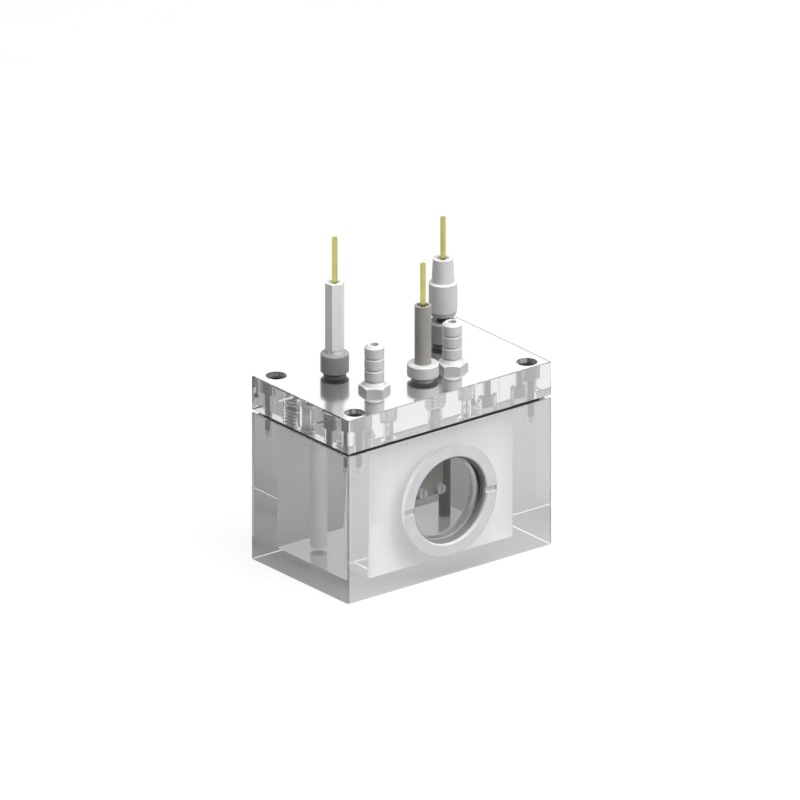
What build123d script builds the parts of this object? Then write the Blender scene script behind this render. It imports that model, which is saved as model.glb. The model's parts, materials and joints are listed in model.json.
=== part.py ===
"""Windowed electrochemical cell: clear block with a cavity, screwed lid, three electrodes and two hose barbs.

Millimetres. The origin is the middle of the block's underside, +Z is up and -Y faces the round window.
Each piece is built where it sits at rest and is written to its own file in parts.
"""

import os
from math import cos, radians, tan

from build123d import *

# Block and lid
block_width = 90.0
block_depth = 54.0
body_height = 55.0
gasket_thickness = 1.0
lid_thickness = 12.5
block_edge_chamfer = 0.3
cut_margin = 1.0

# Cavity, open at the top
side_wall = 13.0
front_wall = 9.0
back_wall = 6.6
floor_thickness = 5.0
cavity_corner_radius = 1.0

# Flat gasket between body and lid
gasket_inset = 1.5
gasket_corner_radius = 5.0
gasket_lip_clearance = 0.5
gasket_hole_clearance = 0.3

# Lid screws: socket heads sunk in counterbores, one near each corner
screw_inset_x = 7.0
screw_inset_y = 5.0
screw_diameter = 4.0
screw_length = 14.0
screw_head_diameter = 7.0
screw_head_height = 4.0
screw_socket_across_flats = 3.0
screw_socket_depth = 2.0
counterbore_depth = 5.5
counterbore_clearance = 0.2
screw_hole_clearance = 0.25
tapped_hole_clearance = 0.06
tapped_hole_spare_depth = 1.5
drill_point_angle = 118.0

# Window in the front wall: bore, seat, glass between two seals, threaded ring
window_x = 0.5
window_height = 27.5
window_bore_diameter = 30.0
glass_diameter = 36.0
glass_thickness = 2.0
glass_seat_clearance = 0.15
inner_seal_thickness = 0.8
outer_seal_thickness = 1.8
seal_opening_diameter = 30.6
ring_diameter = 40.6
ring_opening_diameter = 31.8
ring_lip_thickness = 1.2
ring_skirt_depth = 3.6
ring_skirt_clearance = 0.3
ring_thread_clearance = 0.05
ring_end_clearance = 0.1
ring_inner_chamfer = 0.4
spanner_slot_width = 2.2
spanner_slot_depth = 0.9

# Glands: threaded port, seal ring and nut for each electrode
port_thread_diameter = 8.0
port_thread_depth = 8.5
thread_clearance = 0.03
rod_guide_clearance = 0.15
nut_bore_clearance = 0.06
seal_clearance = 0.03
seal_corner_share = 0.29
nut_neck_diameter = 7.2
nut_neck_height = 0.5
nut_cone_height = 1.2
nut_relief_depth = 0.5
nut_edge_chamfer = 0.4

left_port = (-21.7, 9.9)
left_nut_diameter = 10.0
left_nut_height = 8.5

centre_port = (0.0, -12.0)
centre_nut_diameter = 11.1
centre_nut_height = 6.1

right_port = (25.2, 8.7)
right_nut_diameter = 10.0
right_nut_height = 9.0

# Lead pins at the top of each electrode, with a thinner conductor inside it
pin_diameter = 2.0
pin_tip_chamfer = 0.25
pin_recess_diameter = 4.0
pin_recess_depth = 0.5
conductor_diameter = 1.2
inner_fit = 0.02

# Left electrode: rod with a hexagonal grip and a disc in its lower end
left_rod_diameter = 6.0
left_rod_gap_above_floor = 1.5
left_rod_reach_above_lid = 34.7
left_pin_reach = 16.8
grip_across_flats = 6.0
grip_gap_above_nut = 1.5
grip_turn = 36.6
disc_diameter = 3.0
disc_thickness = 2.0

# Centre electrode: round rod with a two-jaw clamp below the lid
centre_rod_diameter = 5.9
centre_rod_reach_above_lid = 27.6
centre_pin_reach = 15.7
clamp_width = 11.8
clamp_height = 18.0
clamp_front = 3.2
clamp_back = 4.0
clamp_gap_below_lid = 12.0
clamp_corner_radius = 0.6
jaw_thickness = 2.0
jaw_height = 14.0
jaw_clearance = 0.3
contact_thickness = 0.3
contact_width = 4.0
contact_height = 6.0
contact_stud_diameter = 1.2
contact_stud_height = 2.0
rod_spigot_diameter = 3.2
rod_spigot_length = 3.5
clamp_screw_spacing = 8.0
clamp_screw_height = 2.0
clamp_screw_diameter = 2.0
clamp_screw_length = 6.0
clamp_screw_head_diameter = 3.6
clamp_screw_head_height = 1.5
clamp_screw_slot_width = 0.5
clamp_screw_slot_depth = 0.6

# Right electrode: carbon rod held in a stepped cap
right_rod_diameter = 4.2
right_rod_gap_above_floor = 0.3
right_pin_reach = 15.5
cap_gap_above_nut = 2.5
cap_lower_diameter = 10.0
cap_lower_height = 11.8
cap_foot_diameter = 9.0
cap_foot_height = 1.6
cap_upper_diameter = 8.0
cap_upper_height = 9.0
cap_top_diameter = 7.1
cap_shoulder_height = 0.5
cap_socket_depth = 12.0

# Hose barbs: hexagonal flange, three barbs above it, threaded stem in the lid
inlet_port = (-19.5, -9.5)
outlet_port = (14.7, -9.7)
flange_across_flats = 9.7
flange_height = 2.15
flange_turn = 21.7
flange_bevel = 0.45
collar_diameter = 8.4
collar_height = 1.95
barb_diameter = 6.9
barb_neck_diameter = 5.8
barb_pitch = 4.3
barb_count = 3
barb_cone_height = 1.0
barb_tip_diameter = 4.8
barb_tip_height = 0.9
barb_bore_diameter = 3.0
stem_diameter = 6.4
stem_length = 9.0
stem_end_clearance = 0.2
stem_end_chamfer = 0.5
gas_hole_diameter = 4.0

# Levels and planes that follow from the sizes above
lid_bottom = body_height + gasket_thickness
lid_top = lid_bottom + lid_thickness
front_face = -block_depth / 2
back_face = block_depth / 2
cavity_left = -block_width / 2 + side_wall
cavity_right = block_width / 2 - side_wall
cavity_front = front_face + front_wall
cavity_back = back_face - back_wall
port_seat = lid_top - port_thread_depth
left_rod_bottom = floor_thickness + left_rod_gap_above_floor
left_rod_top = lid_top + left_rod_reach_above_lid
centre_rod_top = lid_top + centre_rod_reach_above_lid
clamp_top = lid_bottom - clamp_gap_below_lid
clamp_bottom = clamp_top - clamp_height
jaw_top = clamp_bottom + jaw_height
right_rod_bottom = floor_thickness + right_rod_gap_above_floor
cap_bottom = lid_top + right_nut_height + cap_gap_above_nut
cap_top = cap_bottom + cap_lower_height + cap_upper_height
screw_head_seat = lid_top - counterbore_depth
screw_bottom = screw_head_seat - screw_length
ring_lip_back = front_face + ring_lip_thickness
glass_front = ring_lip_back + outer_seal_thickness
glass_back = glass_front + glass_thickness
glass_seat = glass_back + inner_seal_thickness
screw_places = [
    (side * (block_width / 2 - screw_inset_x), end * (block_depth / 2 - screw_inset_y))
    for side in (-1, 1)
    for end in (-1, 1)
]


def block(x_low, x_high, y_low, y_high, z_low, z_high):
    """Box between two corners."""
    size = (x_high - x_low, y_high - y_low, z_high - z_low)
    middle = ((x_low + x_high) / 2, (y_low + y_high) / 2, (z_low + z_high) / 2)
    return Pos(*middle) * Box(*size)


def turned(profile, place=(0.0, 0.0)):
    """Solid of revolution about a vertical axis, from (radius, height) points."""
    outline = make_face(Polyline([(radius, 0, height) for radius, height in profile], close=True))
    return Pos(place[0], place[1], 0) * revolve(outline, Axis.Z)


def tube(inner_diameter, outer_diameter, low, high, place=(0.0, 0.0)):
    """Straight tube about a vertical axis; an inner diameter of zero makes a plain cylinder."""
    inner, outer = inner_diameter / 2, outer_diameter / 2
    return turned([(inner, low), (outer, low), (outer, high), (inner, high)], place)


def window_tube(inner_diameter, outer_diameter, front, back):
    """Straight tube about the window's axis, between two planes across it."""
    tube_along_z = tube(inner_diameter, outer_diameter, -back, -front)
    return Pos(window_x, 0, window_height) * Rot(90, 0, 0) * tube_along_z


def hexagonal_bar(across_flats, low, high, turn, place):
    """Upright hexagonal bar, turned about its own axis by an angle in degrees."""
    outline = RegularPolygon(across_flats / 2, 6, major_radius=False, rotation=turn)
    return Pos(place[0], place[1], low) * extrude(outline, high - low)


def tapped_hole(diameter, depth, top, place):
    """Drilled hole with its conical end."""
    radius = diameter / 2
    point = radius / tan(radians(drill_point_angle / 2))
    bottom = top - depth
    return turned([(0, top), (radius, top), (radius, bottom), (0, bottom - point)], place)


def cell_body():
    """Clear block with the cavity, the window's stepped bore and the lid screws' holes."""
    body = block(-block_width / 2, block_width / 2, front_face, back_face, 0, body_height)
    body = chamfer(body.edges(), block_edge_chamfer)
    cavity_top = body_height + cut_margin
    cavity = block(cavity_left, cavity_right, cavity_front, cavity_back, floor_thickness, cavity_top)
    cavity = fillet(cavity.edges().filter_by(Axis.Z), cavity_corner_radius)
    ring_bore = ring_diameter + 2 * ring_thread_clearance
    glass_bore = glass_diameter + 2 * glass_seat_clearance
    ring_seat = front_face + ring_skirt_depth + ring_end_clearance
    body -= cavity
    body -= window_tube(0, ring_bore, front_face - cut_margin, ring_seat)
    body -= window_tube(0, glass_bore, ring_seat - cut_margin, glass_seat)
    body -= window_tube(0, window_bore_diameter, glass_seat - cut_margin, cavity_front + cut_margin)
    hole_diameter = screw_diameter + 2 * tapped_hole_clearance
    hole_depth = body_height - screw_bottom + tapped_hole_spare_depth
    for place in screw_places:
        body -= tapped_hole(hole_diameter, hole_depth, body_height, place)
    return body


def lid_gasket():
    """Flat rectangular gasket with the cavity's opening and four screw holes."""
    width = block_width - 2 * gasket_inset
    depth = block_depth - 2 * gasket_inset
    opening_width = cavity_right - cavity_left + 2 * gasket_lip_clearance
    opening_depth = cavity_back - cavity_front + 2 * gasket_lip_clearance
    opening_middle = (cavity_back + cavity_front) / 2
    outline = RectangleRounded(width, depth, gasket_corner_radius)
    outline -= Pos(0, opening_middle) * RectangleRounded(opening_width, opening_depth, cavity_corner_radius)
    for place in screw_places:
        outline -= Pos(*place) * Circle(screw_diameter / 2 + gasket_hole_clearance)
    return Pos(0, 0, body_height) * extrude(outline, gasket_thickness)


def window_ring():
    """Threaded ring with a thin front lip, a skirt behind it and two spanner slots."""
    skirt_opening = glass_diameter + 2 * ring_skirt_clearance
    ring = window_tube(ring_opening_diameter, ring_diameter, front_face, front_face + ring_skirt_depth)
    ring -= window_tube(0, skirt_opening, ring_lip_back, front_face + ring_skirt_depth + cut_margin)
    front_edge = ring.edges().filter_by(GeomType.CIRCLE).group_by(Axis.Y)[0].sort_by(SortBy.RADIUS)[0]
    ring = chamfer(front_edge, ring_inner_chamfer)
    slot_low = window_height - spanner_slot_width / 2
    slot = block(
        window_x - ring_diameter, window_x + ring_diameter, front_face - cut_margin,
        front_face + spanner_slot_depth,
        slot_low, slot_low + spanner_slot_width,
    )
    return ring - slot


def port(rod_diameter, place):
    """Cut for one gland: threaded part above, guide bore for the rod below."""
    threaded = tube(0, port_thread_diameter + 2 * thread_clearance, port_seat, lid_top + cut_margin, place)
    guide = tube(0, rod_diameter + 2 * rod_guide_clearance, lid_bottom - cut_margin, lid_top, place)
    return threaded + guide


def lid():
    """Clear lid with three electrode ports, two hose ports and four counterbored holes."""
    plate = block(-block_width / 2, block_width / 2, front_face, back_face, lid_bottom, lid_top)
    plate = chamfer(plate.edges(), block_edge_chamfer)
    for rod_diameter, place in (
        (left_rod_diameter, left_port),
        (centre_rod_diameter, centre_port),
        (right_rod_diameter, right_port),
    ):
        plate -= port(rod_diameter, place)
    stem_bottom = lid_top - stem_length - stem_end_clearance
    hole_bottom, hole_top = lid_bottom - cut_margin, lid_top + cut_margin
    for place in (inlet_port, outlet_port):
        plate -= tube(0, stem_diameter + 2 * thread_clearance, stem_bottom, hole_top, place)
        plate -= tube(0, gas_hole_diameter, hole_bottom, lid_top, place)
    for place in screw_places:
        plate -= tube(0, screw_head_diameter + 2 * counterbore_clearance, screw_head_seat, hole_top, place)
        plate -= tube(0, screw_diameter + 2 * screw_hole_clearance, hole_bottom, lid_top, place)
    return plate


def lid_screw(place):
    """Socket-head screw with its hexagonal socket."""
    head_top = screw_head_seat + screw_head_height
    head, shank = screw_head_diameter / 2, screw_diameter / 2
    edge = screw_head_height / 10
    screw = turned(
        [
            (0, screw_bottom), (shank - edge, screw_bottom), (shank, screw_bottom + edge),
            (shank, screw_head_seat), (head, screw_head_seat), (head, head_top - edge),
            (head - edge, head_top), (0, head_top),
        ],
        place,
    )
    socket_bottom = head_top - screw_socket_depth
    return screw - hexagonal_bar(screw_socket_across_flats, socket_bottom, head_top + cut_margin, 0, place)


def seal_width(rod_diameter):
    """Width of a gland seal's section, which fills the port around the rod; it is as high as wide."""
    return (port_thread_diameter - rod_diameter) / 2 + thread_clearance - 2 * seal_clearance


def gland_seal(rod_diameter, place):
    """Ring seal on the port's seat around the rod, its round section pressed to eight flats."""
    width = seal_width(rod_diameter)
    inner, low = rod_diameter / 2 + seal_clearance, port_seat
    outer, high = inner + width, low + width
    corner = seal_corner_share * width
    return turned(
        [
            (inner + corner, low), (outer - corner, low), (outer, low + corner), (outer, high - corner),
            (outer - corner, high), (inner + corner, high), (inner, high - corner), (inner, low + corner),
        ],
        place,
    )


def gland_nut(rod_diameter, nut_diameter, nut_height, place):
    """Round gland nut: threaded stem, relieved neck, coned underside and plain head."""
    bore = rod_diameter / 2 + nut_bore_clearance
    stem, neck, head = port_thread_diameter / 2, nut_neck_diameter / 2, nut_diameter / 2
    stem_bottom = port_seat + seal_width(rod_diameter) + seal_clearance
    cone_bottom = lid_top + nut_neck_height
    top = lid_top + nut_height
    return turned(
        [
            (bore, stem_bottom), (stem, stem_bottom), (stem, lid_top - nut_relief_depth),
            (neck, lid_top - nut_relief_depth), (neck, cone_bottom),
            (head, cone_bottom + nut_cone_height), (head, top - nut_edge_chamfer),
            (head - nut_edge_chamfer, top), (bore, top),
        ],
        place,
    )


def hose_barb(place):
    """Barbed hose fitting with a hexagonal flange and a threaded stem."""
    bore, stem, collar = barb_bore_diameter / 2, stem_diameter / 2, collar_diameter / 2
    barb, neck, tip = barb_diameter / 2, barb_neck_diameter / 2, barb_tip_diameter / 2
    flange_top = lid_top + flange_height
    first_barb = flange_top + collar_height
    stem_bottom = lid_top - stem_length
    profile = [
        (bore, stem_bottom), (stem - stem_end_chamfer, stem_bottom),
        (stem, stem_bottom + stem_end_chamfer), (stem, lid_top), (collar, lid_top),
        (collar, flange_top), (neck, first_barb),
    ]
    for step in range(barb_count):
        low = first_barb + step * barb_pitch
        high = low + barb_pitch
        if step == barb_count - 1:
            profile += [(barb, low), (barb, high - barb_tip_height), (tip, high)]
        else:
            profile += [(barb, low), (barb, high - barb_cone_height), (neck, high)]
    profile.append((bore, first_barb + barb_count * barb_pitch))
    corner = flange_across_flats / 2 / cos(radians(30))
    flange = hexagonal_bar(flange_across_flats, lid_top, flange_top, flange_turn, place)
    flange -= tube(0, 2 * stem, lid_top - cut_margin, flange_top + cut_margin, place)
    rounded = turned(
        [
            (0, lid_top), (corner, lid_top), (corner, flange_top - flange_bevel),
            (corner - 2 * flange_bevel, flange_top), (0, flange_top),
        ],
        place,
    )
    return turned(profile, place) + (flange & rounded)


def lead_pin(bottom, rod_top, reach, place):
    """Contact pin that stands in the recess of a rod's top and reaches above it, on its conductor."""
    radius, conductor = pin_diameter / 2, conductor_diameter / 2
    shoulder, top = rod_top - pin_recess_depth, rod_top + reach
    return turned(
        [
            (0, bottom), (conductor, bottom), (conductor, shoulder), (radius, shoulder),
            (radius, top - pin_tip_chamfer), (radius - pin_tip_chamfer, top), (0, top),
        ],
        place,
    )


def conductor_bore(bottom, top, place):
    """Cut for a conductor, with the pin's recess around its upper end."""
    bore = tube(0, conductor_diameter + 2 * inner_fit, bottom, top + cut_margin, place)
    return bore + tube(0, pin_recess_diameter, top - pin_recess_depth, top + cut_margin, place)


def left_rod():
    """Insulating rod, round through the gland and hexagonal above the nut."""
    grip_bottom = lid_top + left_nut_height + grip_gap_above_nut
    disc_top = left_rod_bottom + disc_thickness
    rod = tube(0, left_rod_diameter, left_rod_bottom, left_rod_top, left_port)
    rod += hexagonal_bar(grip_across_flats, grip_bottom, left_rod_top, grip_turn, left_port)
    rod -= conductor_bore(left_rod_bottom, left_rod_top, left_port)
    return rod - tube(0, disc_diameter + 2 * inner_fit, left_rod_bottom - cut_margin, disc_top, left_port)


def left_disc():
    """Small round electrode face in the rod's lower end."""
    return tube(0, disc_diameter, left_rod_bottom, left_rod_bottom + disc_thickness, left_port)


# The clamp's planes across Y, from the centre electrode's axis
clamp_x = centre_port[0]
clamp_face = centre_port[1] - clamp_front
jaw_back = clamp_face + jaw_thickness
block_face = jaw_back + contact_thickness
clamp_rear = centre_port[1] + clamp_back
clamp_screw_places = [clamp_x - clamp_screw_spacing / 2, clamp_x + clamp_screw_spacing / 2]


def cross_rod(diameter, front, back, x, height):
    """Round bar along Y."""
    return Pos(x, 0, height) * Rot(90, 0, 0) * tube(0, diameter, -back, -front)


def centre_rod():
    """Round insulating rod with a spigot that enters the clamp."""
    spigot_bottom = clamp_top - rod_spigot_length
    rod = tube(0, centre_rod_diameter, clamp_top, centre_rod_top, centre_port)
    rod += tube(0, rod_spigot_diameter, spigot_bottom, clamp_top, centre_port)
    return rod - conductor_bore(spigot_bottom - cut_margin, centre_rod_top, centre_port)


def clamp_block():
    """Fixed half of the clamp: full depth at the top, set back below for the jaw."""
    half = clamp_width / 2
    body = block(clamp_x - half, clamp_x + half, clamp_face, clamp_rear, clamp_bottom, clamp_top)
    body = fillet(body.edges().filter_by(Axis.Z), clamp_corner_radius)
    reach = half + cut_margin
    low, front = clamp_bottom - cut_margin, clamp_face - cut_margin
    body -= block(clamp_x - reach, clamp_x + reach, front, block_face, low, jaw_top)
    spigot_hole = rod_spigot_diameter + 2 * inner_fit
    spigot_bottom = clamp_top - rod_spigot_length
    body -= tube(0, spigot_hole, spigot_bottom - inner_fit, clamp_top + cut_margin, centre_port)
    stud_height = clamp_bottom + contact_stud_height
    body -= tube(0, conductor_diameter + 2 * inner_fit, stud_height, clamp_top, centre_port)
    stud_back = centre_port[1] + contact_stud_diameter / 2
    stud_hole = contact_stud_diameter + 2 * inner_fit
    body -= cross_rod(stud_hole, clamp_face, stud_back + inner_fit, clamp_x, stud_height)
    hole_back = clamp_face + clamp_screw_length + jaw_clearance
    for x in clamp_screw_places:
        hole = clamp_screw_diameter + 2 * tapped_hole_clearance
        body -= cross_rod(hole, clamp_face, hole_back, x, clamp_bottom + clamp_screw_height)
    return body


def clamp_jaw():
    """Loose front jaw with two screw holes."""
    half = clamp_width / 2
    jaw = block(clamp_x - half, clamp_x + half, clamp_face, jaw_back, clamp_bottom, jaw_top - jaw_clearance)
    front_edges = jaw.edges().filter_by(Axis.Z).group_by(Axis.Y)[0]
    jaw = fillet(front_edges, clamp_corner_radius)
    for x in clamp_screw_places:
        hole = clamp_screw_diameter + 2 * tapped_hole_clearance
        height = clamp_bottom + clamp_screw_height
        jaw -= cross_rod(hole, clamp_face - cut_margin, jaw_back + cut_margin, x, height)
    return jaw


def clamp_screw(x):
    """Slotted screw through the jaw into the fixed block."""
    height = clamp_bottom + clamp_screw_height
    head_front = clamp_face - clamp_screw_head_height
    screw = cross_rod(clamp_screw_diameter, clamp_face, clamp_face + clamp_screw_length, x, height)
    screw += cross_rod(clamp_screw_head_diameter, head_front, clamp_face, x, height)
    slot = Box(clamp_screw_slot_width, 2 * clamp_screw_slot_depth, 2 * clamp_screw_head_diameter)
    return screw - Pos(x, head_front, height) * slot


def clamp_contact():
    """Thin metal strip behind the jaw, with a stud that meets the conductor."""
    half = contact_width / 2
    stud_height = clamp_bottom + contact_stud_height
    strip_top = clamp_bottom + contact_height
    strip = block(clamp_x - half, clamp_x + half, jaw_back, block_face, clamp_bottom, strip_top)
    stud_back = centre_port[1] + contact_stud_diameter / 2
    return strip + cross_rod(contact_stud_diameter, jaw_back, stud_back, clamp_x, stud_height)


def centre_pin():
    """Lead pin whose conductor runs down to the contact's stud."""
    bottom = clamp_bottom + contact_stud_height + contact_stud_diameter / 2 + inner_fit
    return lead_pin(bottom, centre_rod_top, centre_pin_reach, centre_port)


def right_cap():
    """Stepped cap with a tapered top, which holds the carbon rod and the pin."""
    step_low = cap_bottom + cap_lower_height
    top = cap_top
    lower, upper = cap_lower_diameter / 2, cap_upper_diameter / 2
    cap = turned(
        [
            (0, cap_bottom), (cap_foot_diameter / 2, cap_bottom),
            (lower, cap_bottom + cap_foot_height), (lower, step_low),
            (upper, step_low + cap_shoulder_height), (cap_top_diameter / 2, top), (0, top),
        ],
        right_port,
    )
    socket_top = cap_bottom + cap_socket_depth
    cap -= tube(0, right_rod_diameter + 2 * inner_fit, cap_bottom - cut_margin, socket_top, right_port)
    return cap - conductor_bore(socket_top - cut_margin, top, right_port)


def right_rod():
    """Straight carbon rod from the cap down to the cavity's floor."""
    rod_top = cap_bottom + cap_socket_depth - inner_fit
    return tube(0, right_rod_diameter, right_rod_bottom, rod_top, right_port)


def grouped(shapes):
    """Several separate solids as one piece of the parts list."""
    return Compound(children=list(shapes))


pieces = {
    "cell_body": cell_body(),
    "lid_gasket": lid_gasket(),
    "window_inner_seal": window_tube(seal_opening_diameter, glass_diameter, glass_back, glass_seat),
    "window_glass": window_tube(0, glass_diameter, glass_front, glass_back),
    "window_outer_seal": window_tube(seal_opening_diameter, glass_diameter, ring_lip_back, glass_front),
    "window_ring": window_ring(),
    "lid": lid(),
    "lid_screws": grouped(lid_screw(place) for place in screw_places),
    "gas_inlet": hose_barb(inlet_port),
    "gas_outlet": hose_barb(outlet_port),
    "left_gland_seal": gland_seal(left_rod_diameter, left_port),
    "centre_gland_seal": gland_seal(centre_rod_diameter, centre_port),
    "right_gland_seal": gland_seal(right_rod_diameter, right_port),
    "left_nut": gland_nut(left_rod_diameter, left_nut_diameter, left_nut_height, left_port),
    "centre_nut": gland_nut(centre_rod_diameter, centre_nut_diameter, centre_nut_height, centre_port),
    "right_nut": gland_nut(right_rod_diameter, right_nut_diameter, right_nut_height, right_port),
    "left_rod": left_rod(),
    "left_pin": lead_pin(left_rod_bottom + disc_thickness, left_rod_top, left_pin_reach, left_port),
    "left_disc": left_disc(),
    "centre_rod": centre_rod(),
    "centre_pin": centre_pin(),
    "clamp_block": clamp_block(),
    "clamp_jaw": clamp_jaw(),
    "clamp_screws": grouped(clamp_screw(x) for x in clamp_screw_places),
    "clamp_contact": clamp_contact(),
    "right_cap": right_cap(),
    "right_rod": right_rod(),
    "right_pin": lead_pin(cap_bottom + cap_socket_depth, cap_top, right_pin_reach, right_port),
}

os.makedirs("parts", exist_ok=True)
for name, shape in pieces.items():
    export_step(shape, f"parts/{name}.step")
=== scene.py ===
"""Looks of the windowed electrochemical cell: finishes, threads, a pale floor, soft light and the camera.

Metres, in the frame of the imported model: +Z up, -Y out of the windowed face.
"""

import json
import math

import bmesh
import bpy
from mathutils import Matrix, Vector
from mathutils.geometry import tessellate_polygon


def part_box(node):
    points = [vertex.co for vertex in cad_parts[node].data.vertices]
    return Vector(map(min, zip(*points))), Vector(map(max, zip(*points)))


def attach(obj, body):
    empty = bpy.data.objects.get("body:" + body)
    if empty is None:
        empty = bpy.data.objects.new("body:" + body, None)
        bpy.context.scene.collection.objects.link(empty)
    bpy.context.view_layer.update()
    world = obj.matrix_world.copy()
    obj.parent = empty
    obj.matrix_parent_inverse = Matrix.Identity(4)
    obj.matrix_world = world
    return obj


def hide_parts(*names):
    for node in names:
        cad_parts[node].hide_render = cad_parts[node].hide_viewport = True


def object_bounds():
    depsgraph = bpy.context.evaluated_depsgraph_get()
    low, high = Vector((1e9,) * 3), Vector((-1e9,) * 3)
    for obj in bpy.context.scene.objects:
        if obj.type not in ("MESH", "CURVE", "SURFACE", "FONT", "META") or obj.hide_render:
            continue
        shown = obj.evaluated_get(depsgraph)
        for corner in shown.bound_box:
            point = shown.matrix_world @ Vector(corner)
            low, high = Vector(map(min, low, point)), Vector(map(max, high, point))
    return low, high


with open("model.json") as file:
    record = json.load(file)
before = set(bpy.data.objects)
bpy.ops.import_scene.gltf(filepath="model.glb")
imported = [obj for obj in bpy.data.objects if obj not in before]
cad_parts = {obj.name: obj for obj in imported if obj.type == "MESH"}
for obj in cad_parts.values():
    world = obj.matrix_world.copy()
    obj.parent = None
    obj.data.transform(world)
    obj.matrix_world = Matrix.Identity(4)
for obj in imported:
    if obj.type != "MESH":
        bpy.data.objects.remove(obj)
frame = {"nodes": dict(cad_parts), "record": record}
cad_low, cad_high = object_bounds()
nodes = frame["nodes"]
openings = frame["record"]["physics"]["openings"]

# View of the photograph: parallel, from the front left and above
view_azimuth = -38.3
view_elevation = 22.0
view_width = 0.2774
view_target = Vector((0.0, 0.0, 0.0568))
view_shift_right = -0.00052
view_distance = 0.9
view_reach = 10.0

# Clear acrylic: the outer box, and the cavity up to its polished back wall
shell_low, shell_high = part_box("cell_body")
body_top = shell_high.z
lid_low, lid_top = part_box("lid")[0].z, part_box("lid")[1].z
shell_high.z = lid_top
outer_share = 0.985
face_allowance = 0.0001
wall_allowance = 0.0002
cavity_boxes = [opening["box_m"] for opening in openings if opening["name"].startswith("cavity")]
cavity_low = Vector(min(low[axis] for low, high in cavity_boxes) - wall_allowance for axis in range(3))
cavity_high = Vector(max(high[axis] for low, high in cavity_boxes) for axis in range(3))
cavity_high.x += wall_allowance
cavity_middle_x = (cavity_low.x + cavity_high.x) / 2
cavity_half_width = (cavity_high.x - cavity_low.x) / 2

# Clearness of the acrylic and the quartz, with painted shade on the block's end faces and in the quartz's
# tint
acrylic_ior = 1.49
acrylic_roughness = 0.004
acrylic_tint = (0.955, 0.962, 0.970)
lid_tint = (0.750, 0.757, 0.767)
# The block's left and right outer faces pass less light, which is painted shade on those sides; the lid's
# pass all of it
block_end_painted_clearness = 0.78
lid_end_painted_clearness = 1.0
quartz_ior = 1.46
quartz_roughness = 0.002
# Quartz tint, partly its own and partly painted shade that darkens the cell's inside seen through the
# window
quartz_tint_and_painted_shade = (0.77, 0.775, 0.775)
glass_wave_scale = 60.0
glass_wave_detail = 4.0
glass_shades = (0.985, 1.0)
glass_roughness_shares = (0.5, 1.5)
lamp_light_kept = (0.95, 0.95, 0.95)

# Satin finish of the cavity's walls, strongest on the front wall
milk_color = (0.87, 0.87, 0.87)
milk_glow_share = 0.15
milk_share = 0.15
milk_share_front = 0.95
milk_fade_width = 0.009
milk_edge_share = 0.35
milk_cloud_scale = 90.0
milk_cloud_detail = 5.0
milk_cloud_shares = (0.92, 1.08)

# Mirror share of the outer faces by how far they slant away from the eye, and of the cavity's floor
mirror_by_slant = [(0.0, 0.12), (0.27, 0.33), (0.45, 0.28), (0.55, 0.6), (0.62, 1.0)]
mirror_share_ends = 0.15
mirror_most_upright = 0.4
mirror_share_floor = 0.3
mirror_roughness = 0.13
even_blend = 0.5

# Counterbores of the lid's screws, with painted shade on their walls and seat so that they look darker than
# the polished faces
screw_head_radius = 0.0035
counterbore_radius = 0.0037
counterbore_depth = 0.0055
screw_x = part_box("lid_screws")[1].x - screw_head_radius
screw_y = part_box("lid_screws")[1].y - screw_head_radius
# Dark grey painted shade for the counterbores' walls and seat, and how much of it covers them
counterbore_painted_shade_color = (0.16, 0.16, 0.165)
counterbore_painted_shade_share = 0.6

# Grain and mottling of polymers and rubber
polymer_mottle_scale = 220.0
polymer_mottle_detail = 4.0
polymer_shades = (0.93, 1.04)
polymer_roughness_shares = (0.85, 1.15)
grain_scale = 3600.0
grain_detail = 2.0
grain_height = 0.00002
grain_strength = 0.4

# Turning lines and mottling of metal
line_stretch = (20, 20, 9000.0)
line_scale = 1.0
line_detail = 2.0
line_height = 0.000001
line_strength = 0.3
metal_mottle_scale = 300.0
metal_mottle_detail = 3.0
metal_shades = (0.9, 1.05)
metal_roughness_shares = (0.8, 1.3)

# Noise values at which a mottled colour is darkest and lightest
dark_at = 0.3
light_at = 0.7


# Node helpers


def new_material(name):
    """Empty node material with its output and one Principled shader."""
    material = bpy.data.materials.new(name)
    material.use_nodes = True
    tree = material.node_tree
    tree.nodes.clear()
    shader = tree.nodes.new("ShaderNodeBsdfPrincipled")
    output = tree.nodes.new("ShaderNodeOutputMaterial")
    tree.links.new(shader.outputs["BSDF"], output.inputs["Surface"])
    return material, tree, shader


def feed(tree, socket, value):
    """Gives an input a number, or links an output to it."""
    if isinstance(value, (int, float)):
        socket.default_value = value
    else:
        tree.links.new(value, socket)


def math_node(tree, operation, *values):
    """One arithmetic node; each input is a socket or a number."""
    node = tree.nodes.new("ShaderNodeMath")
    node.operation = operation
    for socket, value in zip(node.inputs, values):
        feed(tree, socket, value)
    return node.outputs[0]


def product(tree, first, *others):
    """Product of two or more sockets or numbers."""
    for other in others:
        first = math_node(tree, "MULTIPLY", first, other)
    return first


def place(tree, scale=(1, 1, 1)):
    """Object coordinates in metres, stretched by a scale for each axis."""
    coordinates = tree.nodes.new("ShaderNodeTexCoord")
    mapping = tree.nodes.new("ShaderNodeMapping")
    mapping.inputs["Scale"].default_value = scale
    tree.links.new(coordinates.outputs["Object"], mapping.inputs["Vector"])
    return mapping.outputs["Vector"]


def axis_values(tree):
    """Object coordinates in metres as separate X, Y and Z values."""
    coordinates = tree.nodes.new("ShaderNodeTexCoord")
    parts = tree.nodes.new("ShaderNodeSeparateXYZ")
    tree.links.new(coordinates.outputs["Object"], parts.inputs["Vector"])
    return parts.outputs


def vector_node(tree, operation, first, second=None):
    """One vector arithmetic node on a socket and, if given, a constant vector."""
    node = tree.nodes.new("ShaderNodeVectorMath")
    node.operation = operation
    tree.links.new(first, node.inputs[0])
    if second is not None:
        node.inputs[1].default_value = second
    return node.outputs["Vector"]


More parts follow.
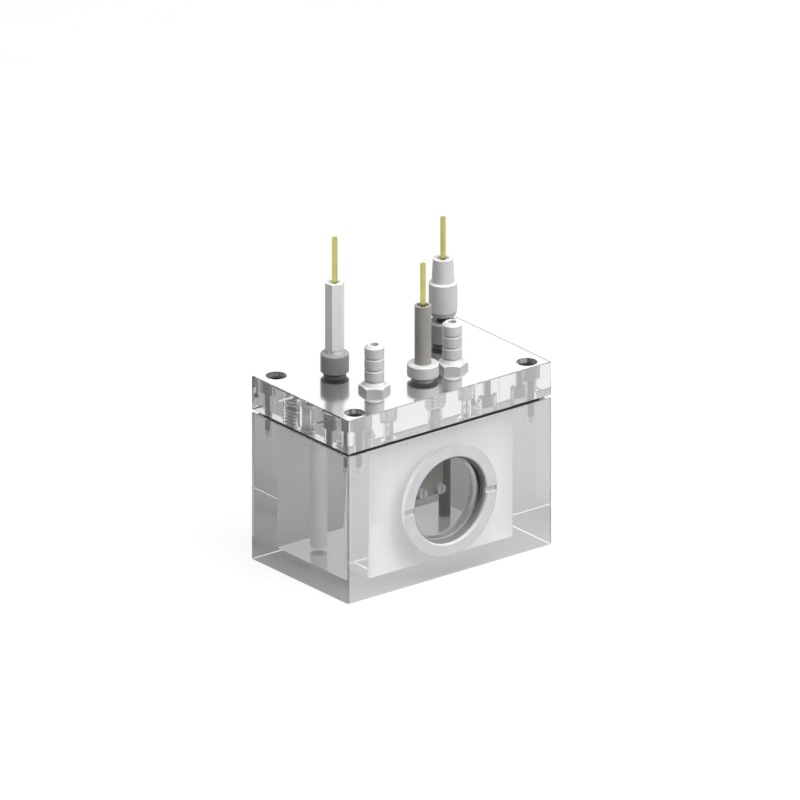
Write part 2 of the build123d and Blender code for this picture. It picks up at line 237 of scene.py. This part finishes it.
def box_share(tree, low, high):
    """Largest distance from a box's middle over the three axes, 1 on the box's own faces."""
    coordinates = tree.nodes.new("ShaderNodeTexCoord")
    offset = vector_node(tree, "SUBTRACT", coordinates.outputs["Object"], (low + high) / 2)
    shares = vector_node(tree, "DIVIDE", vector_node(tree, "ABSOLUTE", offset), (high - low) / 2)
    parts = tree.nodes.new("ShaderNodeSeparateXYZ")
    tree.links.new(shares, parts.inputs["Vector"])
    widest = math_node(tree, "MAXIMUM", parts.outputs["X"], parts.outputs["Y"])
    return math_node(tree, "MAXIMUM", widest, parts.outputs["Z"])


def noise(tree, vector, scale, detail):
    """Noise value over a vector."""
    node = tree.nodes.new("ShaderNodeTexNoise")
    node.inputs["Scale"].default_value = scale
    node.inputs["Detail"].default_value = detail
    tree.links.new(vector, node.inputs["Vector"])
    return node.outputs["Fac"]


def span(tree, value, low, high):
    """Value from 0..1 spread over a low..high range."""
    node = tree.nodes.new("ShaderNodeMapRange")
    node.inputs["To Min"].default_value = low
    node.inputs["To Max"].default_value = high
    tree.links.new(value, node.inputs["Value"])
    return node.outputs["Result"]


def ramp(tree, value, stops):
    """Colour ramp from (position, colour) stops."""
    node = tree.nodes.new("ShaderNodeValToRGB")
    elements = node.color_ramp.elements
    while len(elements) < len(stops):
        elements.new(stops[-1][0])
    for element, (position, color) in zip(elements, stops):
        element.position = position
        element.color = (*color, 1.0)
    tree.links.new(value, node.inputs["Fac"])
    return node.outputs["Color"]


def shade(color, share):
    """Colour darkened or lightened by a share."""
    return tuple(min(1.0, part * share) for part in color)


def mottled(tree, value, color, shades):
    """Colour that varies with a noise value between two shares of itself."""
    darkest, lightest = shades
    return ramp(tree, value, [(dark_at, shade(color, darkest)), (light_at, shade(color, lightest))])


def varied(tree, value, middle, shares):
    """Number that varies with a noise value between two shares of itself."""
    least, most = shares
    return span(tree, value, middle * least, middle * most)


def bump(tree, shader, height, distance, strength):
    """Bump of a given height in metres on a shader."""
    node = tree.nodes.new("ShaderNodeBump")
    node.inputs["Distance"].default_value = distance
    node.inputs["Strength"].default_value = strength
    tree.links.new(height, node.inputs["Height"])
    tree.links.new(node.outputs["Normal"], shader.inputs["Normal"])


def mixed(tree, share, first, second):
    """Mix of two shaders by a share of the second."""
    node = tree.nodes.new("ShaderNodeMixShader")
    feed(tree, node.inputs["Fac"], share)
    tree.links.new(first, node.inputs[1])
    tree.links.new(second, node.inputs[2])
    return node.outputs["Shader"]


# Materials


def let_light_through(tree, surface):
    """Sends a surface to the output, clear to the lamps' light, so that what is behind it is lit."""
    path = tree.nodes.new("ShaderNodeLightPath")
    clear = tree.nodes.new("ShaderNodeBsdfTransparent")
    clear.inputs["Color"].default_value = (*lamp_light_kept, 1.0)
    output = next(node for node in tree.nodes if node.type == "OUTPUT_MATERIAL")
    lit = mixed(tree, path.outputs["Is Shadow Ray"], surface, clear.outputs["BSDF"])
    tree.links.new(lit, output.inputs["Surface"])


def clear_glass(name, ior, tint, roughness):
    """Clear polished material with slight waves in its tint and polish."""
    material, tree, shader = new_material(name)
    shader.inputs["Transmission Weight"].default_value = 1.0
    shader.inputs["IOR"].default_value = ior
    waves = noise(tree, place(tree), glass_wave_scale, glass_wave_detail)
    tree.links.new(mottled(tree, waves, tint, glass_shades), shader.inputs["Base Color"])
    tree.links.new(varied(tree, waves, roughness, glass_roughness_shares), shader.inputs["Roughness"])
    return material, tree, shader


def in_cavity(tree):
    """1 on the cavity's machined walls and floor, else 0."""
    return math_node(tree, "LESS_THAN", box_share(tree, cavity_low, cavity_high), 1.0)


def on_ends(tree, at):
    """1 on the outer faces at the left and the right, else 0."""
    return math_node(tree, "GREATER_THAN", math_node(tree, "ABSOLUTE", at["X"]), outer_share * shell_high.x)


def in_counterbore(tree, at):
    """1 on the walls and seat of the four counterbores, else 0."""
    across = math_node(tree, "SUBTRACT", math_node(tree, "ABSOLUTE", at["X"]), screw_x)
    along = math_node(tree, "SUBTRACT", math_node(tree, "ABSOLUTE", at["Y"]), screw_y)
    squares = [product(tree, part, part) for part in (across, along)]
    reach = math_node(tree, "SQRT", math_node(tree, "ADD", *squares))
    near = math_node(tree, "LESS_THAN", reach, counterbore_radius + face_allowance / 2)
    high = math_node(tree, "GREATER_THAN", at["Z"], lid_top - counterbore_depth - face_allowance)
    return product(tree, near, high)


def paint_end_shade(tree, at, shader, end_painted_clearness):
    """Paints shade on the outer faces at the left and the right by letting them pass less light."""
    tint = shader.inputs["Base Color"].links[0].from_socket
    dimmed = tree.nodes.new("ShaderNodeVectorMath")
    dimmed.operation = "SCALE"
    tree.links.new(tint, dimmed.inputs[0])
    clearness = math_node(tree, "MULTIPLY_ADD", on_ends(tree, at), end_painted_clearness - 1.0, 1.0)
    tree.links.new(clearness, dimmed.inputs["Scale"])
    tree.links.new(dimmed.outputs["Vector"], shader.inputs["Base Color"])


def satin_walls(tree, at, surface):
    """Surface with the milky finish of the cavity's walls, which thins out at the front wall's sides."""
    milk = tree.nodes.new("ShaderNodeBsdfDiffuse")
    milk.inputs["Color"].default_value = (*milk_color, 1.0)
    glow = tree.nodes.new("ShaderNodeBsdfTranslucent")
    glow.inputs["Color"].default_value = (*milk_color, 1.0)
    finish = mixed(tree, milk_glow_share, milk.outputs["BSDF"], glow.outputs["BSDF"])

    off_middle = math_node(tree, "ABSOLUTE", math_node(tree, "SUBTRACT", at["X"], cavity_middle_x))
    from_side = math_node(tree, "SUBTRACT", cavity_half_width, off_middle)
    full = span(tree, math_node(tree, "DIVIDE", from_side, milk_fade_width), milk_edge_share, 1.0)
    on_front = math_node(tree, "LESS_THAN", at["Y"], cavity_low.y + 2 * wall_allowance)
    front_share = product(tree, on_front, full)
    share = math_node(tree, "MULTIPLY_ADD", front_share, milk_share_front - milk_share, milk_share)
    clouds = noise(tree, place(tree), milk_cloud_scale, milk_cloud_detail)
    clouds = varied(tree, clouds, 1.0, milk_cloud_shares)
    return mixed(tree, product(tree, in_cavity(tree), share, clouds), surface, finish)


def paint_counterbore_shade(tree, at, surface):
    """Surface with painted shade, a dark diffuse layer, on the walls and seat of the counterbores."""
    painted_shade_finish = tree.nodes.new("ShaderNodeBsdfDiffuse")
    painted_shade_finish.inputs["Color"].default_value = (*counterbore_painted_shade_color, 1.0)
    sunk = product(tree, in_counterbore(tree, at), counterbore_painted_shade_share)
    return mixed(tree, sunk, surface, painted_shade_finish.outputs["BSDF"])


def mirror_faces(tree, at, surface):
    """Surface with a mirror share on the outer faces, the block's upper face and the cavity's floor."""
    slant = tree.nodes.new("ShaderNodeLayerWeight")
    slant.inputs["Blend"].default_value = even_blend
    stops = [(facing, (value, value, value)) for facing, value in mirror_by_slant]
    gloss = ramp(tree, slant.outputs["Facing"], stops)

    geometry = tree.nodes.new("ShaderNodeNewGeometry")
    from_outside = math_node(tree, "SUBTRACT", 1.0, geometry.outputs["Backfacing"])
    above_body = math_node(tree, "ABSOLUTE", math_node(tree, "SUBTRACT", at["Z"], body_top))
    on_rim = math_node(tree, "LESS_THAN", above_body, face_allowance)
    outer = math_node(tree, "GREATER_THAN", box_share(tree, shell_low, shell_high), outer_share)
    outer = math_node(tree, "MAXIMUM", outer, on_rim)

    on_top = math_node(tree, "GREATER_THAN", at["Z"], lid_top - face_allowance)
    level = math_node(tree, "MAXIMUM", on_rim, on_top)
    most = math_node(tree, "MULTIPLY_ADD", level, 1.0 - mirror_most_upright, mirror_most_upright)
    gloss = math_node(tree, "MINIMUM", gloss, most)
    strength = math_node(tree, "MULTIPLY_ADD", on_ends(tree, at), mirror_share_ends - 1.0, 1.0)
    outer_mirror = product(tree, gloss, product(tree, from_outside, outer), strength)

    on_floor = math_node(tree, "LESS_THAN", at["Z"], cavity_low.z + 2 * wall_allowance)
    floor_mirror = product(tree, on_floor, in_cavity(tree), mirror_share_floor, from_outside)
    mirror = tree.nodes.new("ShaderNodeBsdfAnisotropic")
    mirror.distribution = "MULTI_GGX"
    mirror.inputs["Color"].default_value = (1.0, 1.0, 1.0, 1.0)
    mirror.inputs["Roughness"].default_value = mirror_roughness
    share = math_node(tree, "MAXIMUM", outer_mirror, floor_mirror)
    return mixed(tree, share, surface, mirror.outputs["BSDF"])


def clear_acrylic(name, tint, end_painted_clearness):
    """Acrylic with mirror-like outer faces, less glossy end faces that pass less light as painted shade,
    painted shade in the counterbores and satin machined walls in the cavity.
    """
    material, tree, shader = clear_glass(name, acrylic_ior, tint, acrylic_roughness)
    at = axis_values(tree)
    # Painted shade: the left and right outer faces pass less light
    paint_end_shade(tree, at, shader, end_painted_clearness)
    surface = satin_walls(tree, at, shader.outputs["BSDF"])
    # Painted shade in the counterbores
    surface = paint_counterbore_shade(tree, at, surface)
    let_light_through(tree, mirror_faces(tree, at, surface))
    return material


def quartz():
    """Clear polished quartz whose tint is partly its own and partly painted shade on what is seen through
    it.
    """
    material, tree, shader = clear_glass("quartz_look", quartz_ior, quartz_tint_and_painted_shade, quartz_roughness)
    let_light_through(tree, shader.outputs["BSDF"])
    return material


def moulded(name, color, roughness):
    """Satin polymer or rubber with a fine grain and slight mottling."""
    material, tree, shader = new_material(name)
    vector = place(tree)
    mottle = noise(tree, vector, polymer_mottle_scale, polymer_mottle_detail)
    grain = noise(tree, vector, grain_scale, grain_detail)
    tree.links.new(mottled(tree, mottle, color, polymer_shades), shader.inputs["Base Color"])
    tree.links.new(varied(tree, mottle, roughness, polymer_roughness_shares), shader.inputs["Roughness"])
    bump(tree, shader, grain, grain_height, grain_strength)
    return material


def turned_metal(name, color, roughness):
    """Metal with fine turning lines round a vertical axis."""
    material, tree, shader = new_material(name)
    shader.inputs["Metallic"].default_value = 1.0
    lines = noise(tree, place(tree, line_stretch), line_scale, line_detail)
    mottle = noise(tree, place(tree), metal_mottle_scale, metal_mottle_detail)
    tree.links.new(mottled(tree, mottle, color, metal_shades), shader.inputs["Base Color"])
    tree.links.new(varied(tree, lines, roughness, metal_roughness_shares), shader.inputs["Roughness"])
    bump(tree, shader, lines, line_height, line_strength)
    return material


materials = {
    "clear_acrylic": clear_acrylic("clear_acrylic_look", acrylic_tint, block_end_painted_clearness),
    "quartz": quartz(),
    "black_seal": moulded("black_seal_look", (0.012, 0.012, 0.012), 0.6),
    "pale_seal": moulded("pale_seal_look", (0.62, 0.62, 0.60), 0.55),
    "white_polymer": moulded("white_polymer_look", (0.57, 0.575, 0.57), 0.38),
    "ring_polymer": moulded("ring_polymer_look", (0.60, 0.61, 0.62), 0.35),
    "grey_polymer": moulded("grey_polymer_look", (0.27, 0.28, 0.285), 0.4),
    "beige_polymer": moulded("beige_polymer_look", (0.29, 0.28, 0.252), 0.42),
    "brass_pin": turned_metal("brass_pin_look", (0.56, 0.52, 0.18), 0.3),
    "screw_steel": turned_metal("screw_steel_look", (0.16, 0.16, 0.165), 0.35),
    "carbon": moulded("carbon_look", (0.03, 0.03, 0.032), 0.45),
    "platinum": turned_metal("platinum_look", (0.75, 0.74, 0.72), 0.2),
}
slot_of = {part["node"]: part["material_slot"] for part in frame["record"]["subparts"]}
own_looks = {
    "lid": clear_acrylic("clear_lid_look", lid_tint, lid_end_painted_clearness),
    "window_outer_seal": moulded("window_seal_look", (0.22, 0.22, 0.22), 0.5),
    "left_rod": moulded("left_rod_look", (0.72, 0.725, 0.72), 0.38),
}


def dress(piece, node):
    """Gives a piece the look of a CAD node: its own, or else that of its slot."""
    piece.data.materials.clear()
    piece.data.materials.append(own_looks.get(node, materials[slot_of[node]]))


for node, piece in nodes.items():
    dress(piece, node)


# Floor, light and camera
floor_reach = 3.0
floor_lift = 0.00002
floor_dark = (0.215, 0.215, 0.215)
floor_light = (0.225, 0.225, 0.225)
floor_mottle_scale = 30.0
floor_mottle_detail = 3.0
floor_roughness = 0.9
floor_specular = 0.1
floor_glow = 0.7
floor_glow_through = 0.04
before_any_glass = 0.5
plain_light = 0.22
lamp_distance = 2.0
lamps = [
    {"name": "key_light", "azimuth": 25.0, "elevation": 30.0, "size": 1.2, "energy": 22.0},
    {"name": "top_light", "azimuth": -10.0, "elevation": 75.0, "size": 1.6, "energy": 60.0},
]


def floor():
    """Large pale floor that shows white to the camera and keeps the object's shadow."""
    mesh = bpy.data.meshes.new("floor")
    signs = [(-1, -1), (1, -1), (1, 1), (-1, 1)]
    corners = [(x * floor_reach, y * floor_reach, 0) for x, y in signs]
    mesh.from_pydata(corners, [], [(0, 1, 2, 3)])
    plane = bpy.data.objects.new("floor", mesh)
    plane.location.z = cad_low.z + floor_lift
    bpy.context.scene.collection.objects.link(plane)
    material, tree, shader = new_material("floor_look")
    shader.inputs["Roughness"].default_value = floor_roughness
    shader.inputs["Specular IOR Level"].default_value = floor_specular
    mottle = noise(tree, place(tree), floor_mottle_scale, floor_mottle_detail)
    color = ramp(tree, mottle, [(dark_at, floor_dark), (light_at, floor_light)])
    tree.links.new(color, shader.inputs["Base Color"])

    # Full glow for the camera and for mirrors outside the glass, a faint one for what is seen through it
    path = tree.nodes.new("ShaderNodeLightPath")
    outside = math_node(tree, "LESS_THAN", path.outputs["Transmission Depth"], before_any_glass)
    mirrored = product(tree, path.outputs["Is Glossy Ray"], outside)
    bent = math_node(tree, "MAXIMUM", path.outputs["Is Glossy Ray"], path.outputs["Is Transmission Ray"])
    seen = math_node(tree, "MAXIMUM", path.outputs["Is Camera Ray"], mirrored)
    seen = math_node(tree, "MAXIMUM", seen, product(tree, bent, floor_glow_through))
    shader.inputs["Emission Color"].default_value = (1.0, 1.0, 1.0, 1.0)
    tree.links.new(product(tree, seen, floor_glow), shader.inputs["Emission Strength"])
    mesh.materials.append(material)


def backdrop():
    """White surroundings for the camera, mirrors and glass, and a plain dimmer light for the rest."""
    world = bpy.data.worlds.new("surroundings")
    bpy.context.scene.world = world
    world.use_nodes = True
    tree = world.node_tree
    tree.nodes.clear()
    path = tree.nodes.new("ShaderNodeLightPath")
    seen = math_node(tree, "MAXIMUM", path.outputs["Is Camera Ray"], path.outputs["Is Glossy Ray"])
    seen = math_node(tree, "MAXIMUM", seen, path.outputs["Is Transmission Ray"])
    background = tree.nodes.new("ShaderNodeBackground")
    background.inputs["Color"].default_value = (1.0, 1.0, 1.0, 1.0)
    tree.links.new(span(tree, seen, plain_light, 1.0), background.inputs["Strength"])
    output = tree.nodes.new("ShaderNodeOutputWorld")
    tree.links.new(background.outputs["Background"], output.inputs["Surface"])


def direction(azimuth, elevation):
    """Unit vector from the object's middle in a direction in degrees, azimuth 0 straight in front."""
    turn, rise = math.radians(azimuth), math.radians(elevation)
    return Vector((math.sin(turn) * math.cos(rise), -math.cos(turn) * math.cos(rise), math.sin(rise)))


def add_aimed(viewer, back):
    """Adds a lamp or camera to the scene, turned upright to look against a unit vector."""
    viewer.rotation_mode = "QUATERNION"
    viewer.rotation_quaternion = (-back).to_track_quat("-Z", "Y")
    bpy.context.scene.collection.objects.link(viewer)


def soft_light(name, azimuth, elevation, size, energy):
    """Square area light that looks at the object's middle from a direction in degrees."""
    light = bpy.data.lights.new(name, "AREA")
    light.shape = "SQUARE"
    light.size = size
    light.energy = energy
    lamp = bpy.data.objects.new(name, light)
    back = direction(azimuth, elevation)
    lamp.location = view_target + back * lamp_distance
    lamp.visible_glossy = False
    lamp.visible_transmission = False
    add_aimed(lamp, back)


def camera():
    """Parallel camera at the photograph's angle and scale."""
    data = bpy.data.cameras.new("camera")
    data.type = "ORTHO"
    data.ortho_scale = view_width
    data.clip_end = view_reach
    lens = bpy.data.objects.new("camera", data)
    turn = math.radians(view_azimuth)
    right = Vector((math.cos(turn), math.sin(turn), 0.0))
    back = direction(view_azimuth, view_elevation)
    lens.location = view_target + right * view_shift_right + back * view_distance
    add_aimed(lens, back)
    bpy.context.scene.camera = lens


# Threads and the sizes around them, as on the CAD nodes that these pieces stand for
thread_pitch = 0.00125
thread_depth = 0.0006
groove_slope = 2.4
round_steps = 96
steps_per_pitch = 8
smooth_angle = math.radians(30)
lid_chamfer = 0.0003
gland_rod_diameters = {"left": 0.0060, "centre": 0.0059, "right": 0.0042}
nut_stem_radius = 0.0040
port_radius = 0.00403
port_depth = 0.0085
rod_guide_clearance = 0.00015
nut_bore_clearance = 0.00006
nut_relief_depth = 0.0005
nut_neck_radius = 0.0036
nut_neck_height = 0.0005
nut_cone_height = 0.0012
nut_edge_chamfer = 0.0004
stem_hole_radius = 0.00323
stem_hole_depth = 0.0092
gas_hole_radius = 0.0020
screw_hole_radius = 0.00225
gasket_air_gap = 0.00002


def ring_of(radius, height, centre):
    """Circle of points round a vertical axis; the radius is a number or a function of the turn's share."""
    points = []
    for step in range(round_steps):
        turn = step / round_steps
        reach = radius(turn) if callable(radius) else radius
        angle = math.tau * turn
        points.append((centre[0] + reach * math.cos(angle), centre[1] + reach * math.sin(angle), height))
    return points


def threaded_rings(radius, low, high, side, centre):
    """Circles from low to high with a helical groove cut outwards (side 1) or inwards (side -1)."""
    count = round((high - low) / thread_pitch * steps_per_pitch)
    rings = []
    for step in range(count + 1):
        height = low + (high - low) * step / count
        fade = min(1.0, (height - low) / thread_pitch, (high - height) / thread_pitch)

        def reach(turn, height=height, fade=fade):
            phase = (height / thread_pitch - turn) % 1.0
            groove = max(0.0, 1.0 - groove_slope * abs(phase - 0.5))
            return radius + side * thread_depth * fade * groove

        rings.append(ring_of(reach, height, centre))
    return rings


def tube_faces(first, rows, closed=False):
    """Quads between consecutive circles whose points start at a given index."""
    faces = []
    for row in range(rows if closed else rows - 1):
        below = first + row * round_steps
        above = first + ((row + 1) % rows) * round_steps
        for step in range(round_steps):
            following = (step + 1) % round_steps
            faces.append((below + step, below + following, above + following, above + step))
    return faces


def add_piece(name, points, faces, body, node):
    """New closed mesh piece that rides a body and stands for a CAD node, in that node's finish."""
    mesh = bpy.data.meshes.new(name)
    mesh.from_pydata(points, [], faces)
    work = bmesh.new()
    work.from_mesh(mesh)
    bmesh.ops.recalc_face_normals(work, faces=work.faces)
    work.to_mesh(mesh)
    work.free()
    mesh.shade_smooth()
    mesh.set_sharp_from_angle(angle=smooth_angle)
    piece = bpy.data.objects.new(name, mesh)
    bpy.context.scene.collection.objects.link(piece)
    dress(piece, node)
    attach(piece, body)
    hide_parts(node)
    return piece


def middle_of(node):
    """Middle of a node's box across the vertical."""
    low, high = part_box(node)
    return ((low.x + high.x) / 2, (low.y + high.y) / 2)


def gland_nut(side):
    """Gland nut with its thread cut into the stem."""
    node = f"{side}_nut"
    low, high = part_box(node)
    bore = gland_rod_diameters[side] / 2 + nut_bore_clearance
    head = (high.x - low.x) / 2
    centre = middle_of(node)
    stem_top = lid_top - nut_relief_depth
    cone_bottom = lid_top + nut_neck_height
    rings = [ring_of(bore, low.z, centre)]
    rings += threaded_rings(nut_stem_radius, low.z, stem_top, -1, centre)
    for radius, height in (
        (nut_neck_radius, stem_top),
        (nut_neck_radius, cone_bottom),
        (head, cone_bottom + nut_cone_height),
        (head, high.z - nut_edge_chamfer),
        (head - nut_edge_chamfer, high.z),
        (bore, high.z),
    ):
        rings.append(ring_of(radius, height, centre))
    points = [point for ring in rings for point in ring]
    add_piece(f"{side}_gland_nut", points, tube_faces(0, len(rings), closed=True), node, node)


def lid_holes():
    """Circles of each hole of the lid, from the underside up to the top."""
    holes = []
    for side, rod_diameter in gland_rod_diameters.items():
        centre = middle_of(f"{side}_nut")
        guide = rod_diameter / 2 + rod_guide_clearance
        seat = lid_top - port_depth
        rings = [ring_of(guide, lid_low, centre), ring_of(guide, seat, centre)]
        holes.append(rings + threaded_rings(port_radius, seat, lid_top, 1, centre))
    for node in ("gas_inlet", "gas_outlet"):
        centre = middle_of(node)
        seat = lid_top - stem_hole_depth
        rings = [ring_of(gas_hole_radius, lid_low, centre), ring_of(gas_hole_radius, seat, centre)]
        holes.append(rings + threaded_rings(stem_hole_radius, seat, lid_top, 1, centre))
    seat = lid_top - counterbore_depth
    for x in (-screw_x, screw_x):
        for y in (-screw_y, screw_y):
            profile = [
                (screw_hole_radius, lid_low), (screw_hole_radius, seat),
                (counterbore_radius, seat), (counterbore_radius, lid_top),
            ]
            holes.append([ring_of(radius, height, (x, y)) for radius, height in profile])
    return holes


def clear_lid():
    """Lid plate with chamfered edges, counterbores and threads in its five ports."""
    low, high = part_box("lid")
    cut = lid_chamfer
    inset = [
        (low.x + cut, low.y + cut), (high.x - cut, low.y + cut),
        (high.x - cut, high.y - cut), (low.x + cut, high.y - cut),
    ]
    outline = [
        (low.x, low.y + cut), (low.x + cut, low.y), (high.x - cut, low.y), (high.x, low.y + cut),
        (high.x, high.y - cut), (high.x - cut, high.y), (low.x + cut, high.y), (low.x, high.y - cut),
    ]
    points = [(x, y, low.z) for x, y in inset] + [(x, y, low.z + cut) for x, y in outline]
    points += [(x, y, high.z - cut) for x, y in outline] + [(x, y, high.z) for x, y in inset]
    bottom = 0
    lower = bottom + len(inset)
    upper = lower + len(outline)
    top = upper + len(outline)
    faces = []
    for corner in range(len(inset)):
        following = (corner + 1) % len(inset)
        for face, rim in ((bottom, lower), (top, upper)):
            faces.append((face + corner, rim + 2 * corner, rim + 2 * corner + 1))
            faces.append((face + corner, rim + 2 * corner + 1, rim + 2 * following, face + following))
    for side in range(len(outline)):
        following = (side + 1) % len(outline)
        faces.append((lower + side, lower + following, upper + following, upper + side))
    loops = {first: [list(range(first, first + len(inset)))] for first in (bottom, top)}
    for rings in lid_holes():
        first = len(points)
        points += [point for ring in rings for point in ring]
        faces += tube_faces(first, len(rings))
        last = len(points) - round_steps
        loops[bottom].append(list(range(first, first + round_steps)))
        loops[top].append(list(range(last, last + round_steps)))
    for face_loops in loops.values():
        flat = [index for loop in face_loops for index in loop]
        outlines = [[Vector(points[index]) for index in loop] for loop in face_loops]
        faces += [tuple(flat[corner] for corner in triangle) for triangle in tessellate_polygon(outlines)]
    add_piece("threaded_lid", points, faces, "lid", "lid")


def thin_gasket():
    """Gasket as it lies dry between lid and body, with a hair of air above and below it."""
    mesh = nodes["lid_gasket"].data.copy()
    low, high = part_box("lid_gasket")
    middle = (low.z + high.z) / 2
    keep = 1 - 2 * gasket_air_gap / (high.z - low.z)
    for vertex in mesh.vertices:
        vertex.co.z = middle + (vertex.co.z - middle) * keep
    piece = bpy.data.objects.new("lid_gasket_sheet", mesh)
    bpy.context.scene.collection.objects.link(piece)
    dress(piece, "lid_gasket")
    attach(piece, "cell")
    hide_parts("lid_gasket")


thin_gasket()
clear_lid()
for side in gland_rod_diameters:
    gland_nut(side)
floor()
backdrop()
for lamp in lamps:
    soft_light(**lamp)
camera()

scene = bpy.context.scene
scene.view_settings.view_transform = "Standard"
scene.cycles.max_bounces = 32
scene.cycles.transmission_bounces = 28
scene.cycles.transparent_max_bounces = 16
scene.cycles.glossy_bounces = 8
scene.cycles.diffuse_bounces = 4
scene.cycles.caustics_reflective = False
